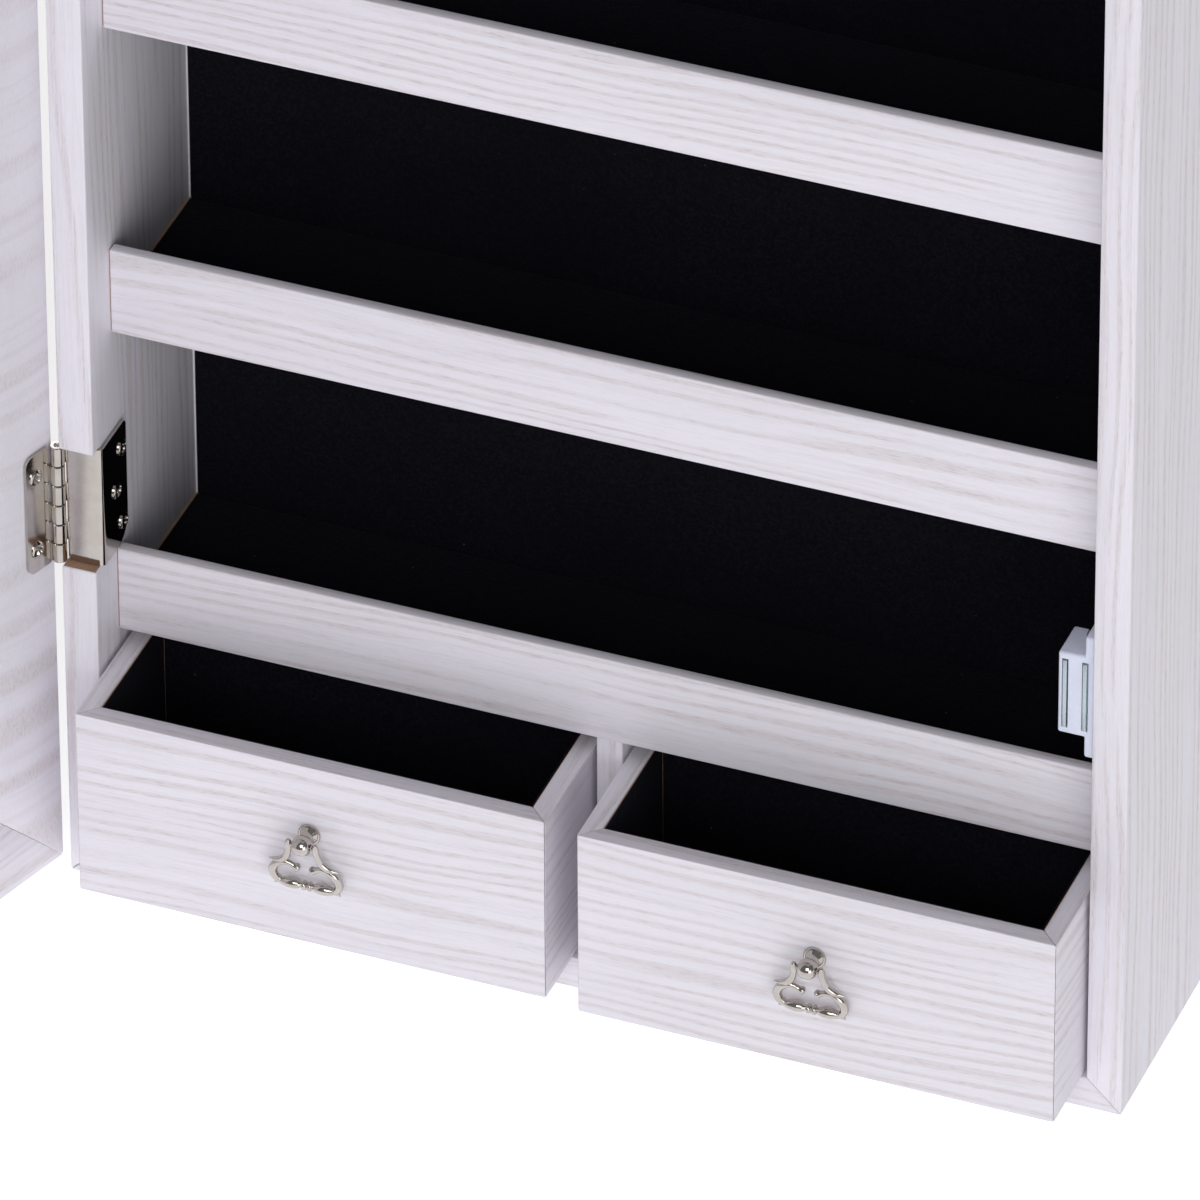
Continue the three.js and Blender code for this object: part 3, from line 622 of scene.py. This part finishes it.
# ------------------------------------------------------------------ pulls
HEAD = 3.4  # radius of the drum-shaped head
for d in ("left", "right"):
    low, high = box_in(f"pull_post_{d}", CAB)
    px, pz = (low.x + high.x) / 2, (low.z + high.z) / 2
    face, head = high.y, low.y + HEAD
    out = Matrix.Translation((px, face, pz)) @ Matrix.Rotation(math.pi / 2, 4, "X")
    reach = face - head
    bm = bmesh.new()
    add_lathe(bm, [(3.85, 0), (3.9, 0.35), (3.7, 0.75), (3.35, 0.8), (3.1, 0.62), (2.75, 1.1), (2.3, 1.5),
                   (1.95, 2.0), (1.9, reach - 1.5), (1.2, reach)], out, 40)
    drum = Matrix.Translation((px, head, pz)) @ Matrix.Rotation(math.pi / 2, 4, "Y")
    half, dip = 3.0, 1.15
    side_in = [(0.2, dip), (1.0, dip), (1.12, 0.08), (1.6, 0), (2.3, 0.3), (2.85, 0.85), (3.25, 1.7),
               (HEAD, 2.6)]
    both = [(r, h - half) for r, h in side_in] + [(r, half - h) for r, h in side_in[::-1]]
    add_lathe(bm, both, drum, 40)
    finish_piece(bm, f"pull_head_{d}", CAB, f"drawer_{d}", "nickel", NICKEL, (f"pull_post_{d}",),
                 smooth=50)

    bm = bmesh.new()
    for s in (-1, 1):
        add_tube(bm, [(s * 1.95, 0, 0, 0.78), (s * 3.6, 0, 0, 0.8), (s * 4.5, 0, -0.1, 1.05)], 14, 3)
        add_tube(bm, [(s * 4.65, 0, 1.1, 0.85), (s * 4.65, 0, -0.3, 1.25), (s * 4.9, 0, -3.0, 1.1),
                      (s * 5.7, 0, -6.0, 1.2), (s * 7.2, 0, -8.2, 1.3), (s * 9.4, -0.1, -9.3, 0.95),
                      (s * 12.2, -0.2, -9.3, 0.15)], 16, 5)
        add_tube(bm, [(s * 2.7, 0, -11.2, 1.45), (s * 3.9, 0, -10.7, 1.05), (s * 5.8, 0, -9.8, 0.95),
                      (s * 8.1, 0, -10.1, 1.25), (s * 10.3, 0, -11.9, 1.45), (s * 11.5, 0, -14.8, 1.5),
                      (s * 11.0, 0, -17.7, 1.35), (s * 9.4, 0, -19.4, 1.15)], 16, 5)
        add_tube(bm, [(s * 9.6, 0, -18.6, 1.2), (s * 10.6, 0, -20.1, 0.75),
                      (s * 11.5, 0, -21.1, 0.12)], 12, 4)
    bar = [(-9.9, 0.8), (-8.7, 1.3), (-7.0, 1.75), (-5.0, 1.9), (-3.2, 1.6), (-2.1, 1.1),
           (-1.75, 1.05), (-1.45, 1.6), (-0.9, 1.7), (-0.4, 1.5), (0, 1.05)]
    bar += [(-x, r) for x, r in bar[-2::-1]]
    add_tube(bm, [(x, 0, -19.5, r) for x, r in bar], 20, 4)
    finish_piece(bm, f"pull_ring_{d}", plumb(f"bail_{d}_swing"), f"bail_{d}", "nickel", NICKEL,
                 (f"pull_bail_{d}",), smooth=60)

# ------------------------------------------------------------------ ring cushion and necklace hooks
low, high = box_in("ring_cushion", CAB)
rolls = 8
pitch = (high.z - low.z) / rolls
bm = bmesh.new()
add_box(bm, (low.x + 2, high.y - 6.5, low.z + 1), (high.x - 2, high.y - 0.2, high.z - 1), 1.0)
for i in range(rolls):
    z = low.z + (i + 0.5) * pitch
    path = []
    for k in range(-12, 13):
        t = k / 12
        r = 9.9 * (1 - abs(t) ** 26) ** 0.5 if abs(t) < 1 else 0.6
        wave = 0.12 * math.sin(k * 1.7 + i) + 0.1 * math.sin(k * 0.6 + 2 * i)
        path.append((t * (high.x - low.x) / 2, high.y - 6 - 0.4 + wave * 0.5, z, r * 0.985 + wave))
    add_tube(bm, path, 24, 2, flat=0.98)
cushion = finish_piece(bm, "ring_rolls", CAB, "cabinet", "velvet", VELVET, ("ring_cushion",), smooth=60)

HOOKS, HOOK_PITCH = 9, 34.0
low, high = box_in("necklace_hook_strip", CAB)
bm = bmesh.new()
add_box(bm, (low.x, high.y - 4, low.z), (high.x, high.y, high.z), 0.8, 3)
for i in range(HOOKS):
    x = (i - (HOOKS - 1) / 2) * HOOK_PITCH
    z = (low.z + high.z) / 2
    add_tube(bm, [(x, high.y - 3.5, z, 1.8), (x, high.y - 12, z, 1.8), (x, low.y + 3.6, z + 0.2, 1.8),
                  (x, low.y + 1.9, z + 2.0, 1.8), (x, low.y + 1.8, z + 5.6, 1.75)], 16, 5)
    add_lathe(bm, [(4.2, 0), (4.2, 0.5), (3.4, 1.1), (1.9, 1.4)],
              Matrix.Translation((x, high.y - 4, z)) @ Matrix.Rotation(math.pi / 2, 4, "X"), 24)
finish_piece(bm, "necklace_hooks", CAB, "cabinet", "nickel", NICKEL, ("necklace_hook_strip",), smooth=50)

# ------------------------------------------------------------------ stand brackets and pins
for d, s in (("left", -1), ("right", 1)):
    board(f"stand_bracket_{d}", CAB, 0.4, suffix="_plate")
    low, high = box_in(f"stand_pivot_pin_{d}", CAB)
    mid = (low + high) / 2
    half = (high.x - low.x) / 2
    bm = bmesh.new()
    across = Matrix.Translation(mid) @ Matrix.Rotation(math.pi / 2, 4, "Y")
    add_lathe(bm, [(0.4, -half), (1.9, -half + 0.2), (2.4, -half + 0.7), (2.4, half - 0.7),
                   (1.9, half - 0.2), (0.4, half)], across, 28)
    finish_piece(bm, f"stand_rivet_{d}", CAB, "cabinet", "steel", STEEL, (f"stand_pivot_pin_{d}",))
    low, high = box_in(f"stand_bracket_{d}", CAB)
    bm = bmesh.new()
    for dz in (high.z - 7, low.z + 7):
        add_screw(bm, ((low.x + high.x) / 2, low.y + 2, dz), (0, 1, 0), radius=2.7, turn=0.3 + dz,
                  dome=1.0)
    finish_piece(bm, f"bracket_screws_{d}", CAB, "cabinet", "nickel", NICKEL)

# ------------------------------------------------------------------ thin lines in the joints
def core_lines(name, body, matrix, boxes, slot="raw_board", **more):
    """Thin strips that show in the gaps: raw board, or the lining's light edges."""
    bm = bmesh.new()
    for a, b in boxes:
        add_box(bm, a, b)
    finish_piece(bm, name, matrix, body, slot, MATERIALS[slot], **more)


ends = []
for i in (1, 2, 3):
    low, high = box_in(f"shelf_rail_{i}", CAB)
    for s in (-1, 1):
        x = sorted((s * (INNER - 0.02), s * (INNER - GAP + 0.02)))
        ends.append(((x[0], low.y + 0.5, low.z + 0.5), (x[1], high.y - 0.5, high.z - 0.5)))
NOTCH, NOTCH_PLAY = 5.3, 0.4  # a hinge notch's depth, and its room above and below the leaf
for z in HINGES.values():
    for end, way in ((z - HIGH / 2 - NOTCH_PLAY, 1), (z + HIGH / 2 + NOTCH_PLAY, -1)):
        zs = sorted((end + 0.01 * way, end + 0.05 * way))
        ends.append(((-HALF + 0.5, 0.5, zs[0]), (-INNER - 0.5, NOTCH - 0.1, zs[1])))
    ends.append(((-HALF + 0.2, NOTCH - 0.05, z - HIGH / 2), (-INNER - 0.5, NOTCH - 0.01, z + HIGH / 2)))
for i in (1, 2, 3):
    low, high = box_in(f"velvet_shelf_{i}", CAB)
    ends.append(((-INNER + 0.04, low.y + 1, high.z - 0.6), (-INNER + 0.5, high.y - 0.3, high.z + 0.3)))
core_lines("raw_edges", "cabinet", CAB, ends)
low, high = box_in("velvet_back_lining", CAB)
edges = [((x, low.y - 0.35, low.z + 1), (x + 0.45, low.y - 0.02, high.z - 1))
         for x in (-INNER + 0.02, INNER - 0.47)]
core_lines("lining_edges", "cabinet", CAB, edges, "white_wood", grain="zyx")
LINER, CORNER = 0.8, 0.12  # the liner's thickness, and the line in its rear corners
for d in ("left", "right"):
    low, high = box_in(f"drawer_{d}_velvet_liner", CAB)
    rim = box_in(f"drawer_{d}_front", CAB)[1].z
    x0, x1, y0, y1 = low.x - GAP, high.x + GAP, low.y - GAP, high.y + GAP
    z0, z1, thin = rim - 4, rim - 0.5, GAP - 0.02
    lines = [((x0 + 0.01, y0 + 1, z0), (x0 + thin, y1 - 1, z1)),
             ((x1 - thin, y0 + 1, z0), (x1 - 0.01, y1 - 1, z1)),
             ((x0 + 1, y0 + 0.01, z0), (x1 - 1, y0 + thin, z1)),
             ((x0 + 1, y1 - thin, z0), (x1 - 1, y1 - 0.01, z1))]
    for x in (low.x + LINER, high.x - LINER - CORNER):
        lines.append(((x, high.y - LINER - CORNER, low.z + 2),
                      (x + CORNER, high.y - LINER, high.z - 0.5)))
    core_lines(f"raw_edges_drawer_{d}", f"drawer_{d}", CAB, lines)

# ------------------------------------------------------------------ studio
floor_mesh = bpy.data.meshes.new("floor")
size = 6.0
corners = [(-size, -size, 0), (size, -size, 0), (size, size, 0), (-size, size, 0)]
floor_mesh.from_pydata(corners, [], [(0, 1, 2, 3)])
floor_mat = Mat("studio_floor")
mottle = floor_mat.noise(floor_mat.place(), 3, 3, 0.5)
pale = floor_mat.mix(floor_mat.span(mottle, 0.3, 0.7), (0.9, 0.9, 0.91), (0.88, 0.88, 0.89))
floor_mesh.materials.append(floor_mat.done(
    Base_Color=pale, Roughness=0.7, Emission_Color=(1, 1, 1), Emission_Strength=0.56))
floor = bpy.data.objects.new("floor", floor_mesh)
bpy.context.scene.collection.objects.link(floor)

world = bpy.data.worlds.new("studio")
bpy.context.scene.world = world
world.use_nodes = True
background = world.node_tree.nodes["Background"]
background.inputs["Color"].default_value = (0.97, 0.975, 1.0, 1)
background.inputs["Strength"].default_value = 0.2


def lamp(name, at, target, size, power, colour=(1, 1, 1)):
    data = bpy.data.lights.new(name, "AREA")
    data.shape = "RECTANGLE"
    data.size, data.size_y = size
    data.energy = power
    data.color = colour
    obj = bpy.data.objects.new(name, data)
    bpy.context.scene.collection.objects.link(obj)
    obj.location = at
    obj.rotation_mode = "QUATERNION"
    obj.rotation_quaternion = (Vector(target) - Vector(at)).to_track_quat("-Z", "Y")


# the strengths were fitted to the photo's tones
lamp("front", (0.6, -2.8, 2.6), (0, 0, 0.3), (1.8, 1.8), 43, (1.0, 0.99, 0.995))
lamp("low", (2.2, -2.6, 0.8), (0, 0, 0.3), (2.0, 2.0), 30, (0.99, 0.99, 1.0))
lamp("top", (0.2, 0.6, 3.2), (0, 0, 0.3), (2.4, 2.4), 5)
lamp("rear", (-1.2, 2.8, 1.8), (0, 0, 0.6), (1.6, 1.6), 16)
bpy.context.scene.view_settings.view_transform = "Standard"
